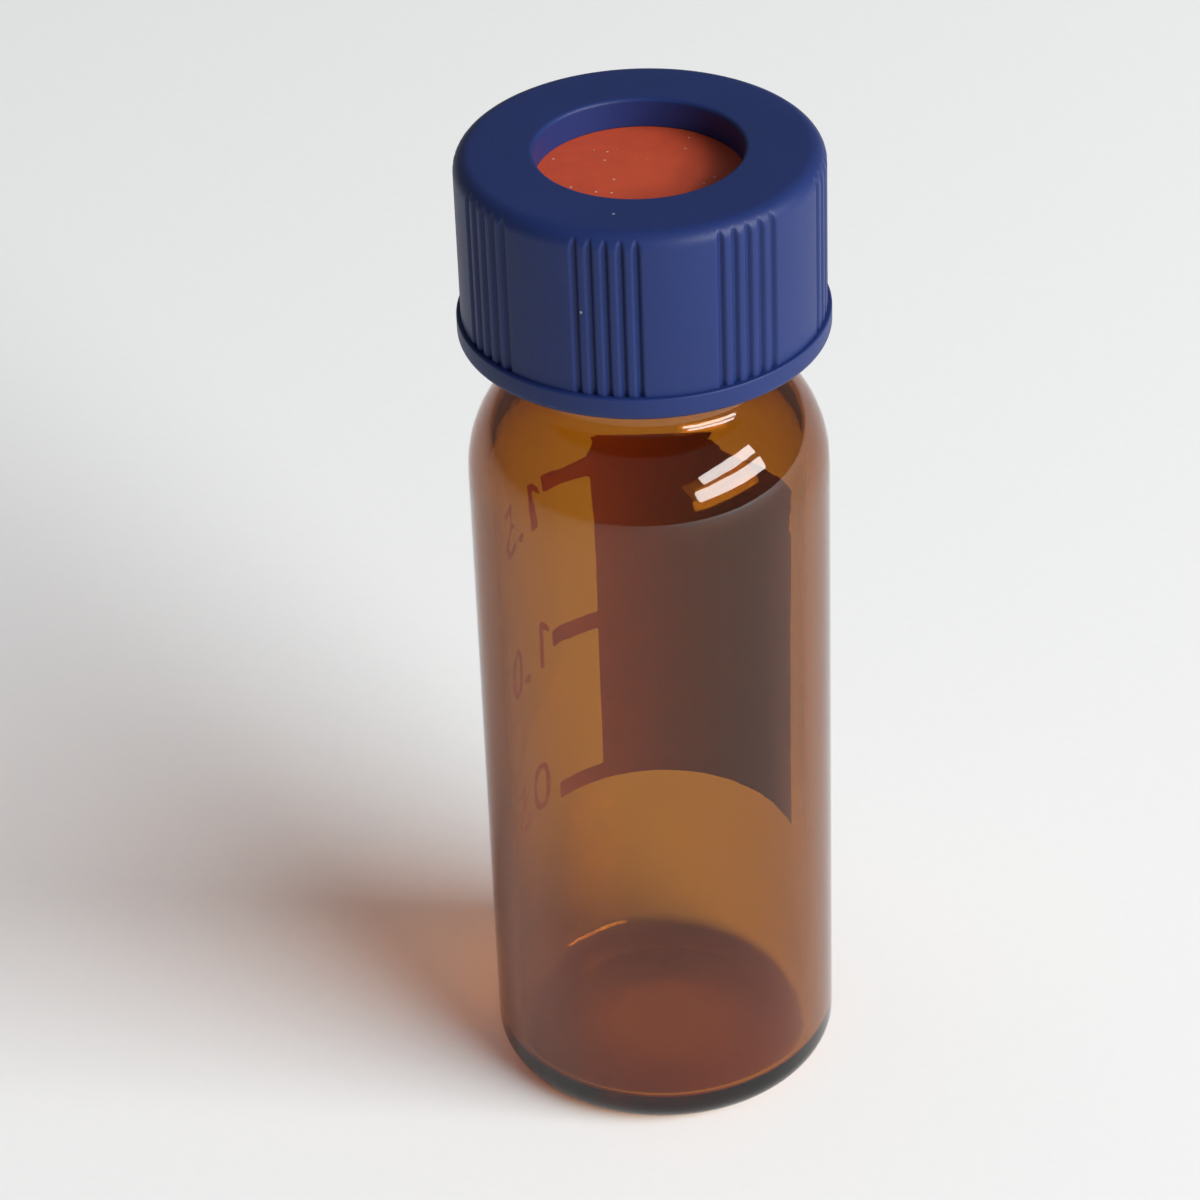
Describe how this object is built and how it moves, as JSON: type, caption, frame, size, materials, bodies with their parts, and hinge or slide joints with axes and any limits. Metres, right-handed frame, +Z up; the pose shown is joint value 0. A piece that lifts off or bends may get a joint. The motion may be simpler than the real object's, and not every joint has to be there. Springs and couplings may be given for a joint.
{
  "type": "sample vial",
  "caption": "Small amber glass sample vial with a straight wall, a rounded shoulder and a short screw neck, closed by a blue open-top screw cap with grip grooves over a red faced septum.",
  "frame": {"origin": "centre of the foot, on the plane that the vial stands on", "axes": "+Z up along the common axis of vial, septum and cap; -Y faces the picture's viewer"},
  "size_m": [0.0118, 0.0118, 0.0343],
  "materials": {
    "amber_glass": "amber borosilicate glass, drawn and fire polished",
    "blue_polypropylene": "moulded polypropylene, fine satin",
    "red_silicone": "punched silicone sheet, matte",
    "ptfe_film": "skived PTFE film, satin",
    "white_enamel": "white glass enamel, screen printed and fired onto the wall"
  },
  "bodies": {
    "vial": {"vial": "amber_glass"},
    "septum": {"septum_silicone": "red_silicone", "septum_facing": "ptfe_film"},
    "cap": {"screw_cap": "blue_polypropylene"}
  },
  "joints": [
    {"name": "closure_rise", "type": "slide", "parent": "vial", "child": "septum", "axis": [0, 0, 1], "range_m": [0, 0.0054]},
    {"name": "cap_turn", "type": "hinge", "parent": "septum", "child": "cap", "pos_m": [0, 0, 0.0333], "axis": [0, 0, 1], "range_deg": [0, 1080]}
  ],
  "couplings": [
    {"joint": "cap_turn", "follows": "closure_rise", "rad_per_m": 3490.7}
  ]
}
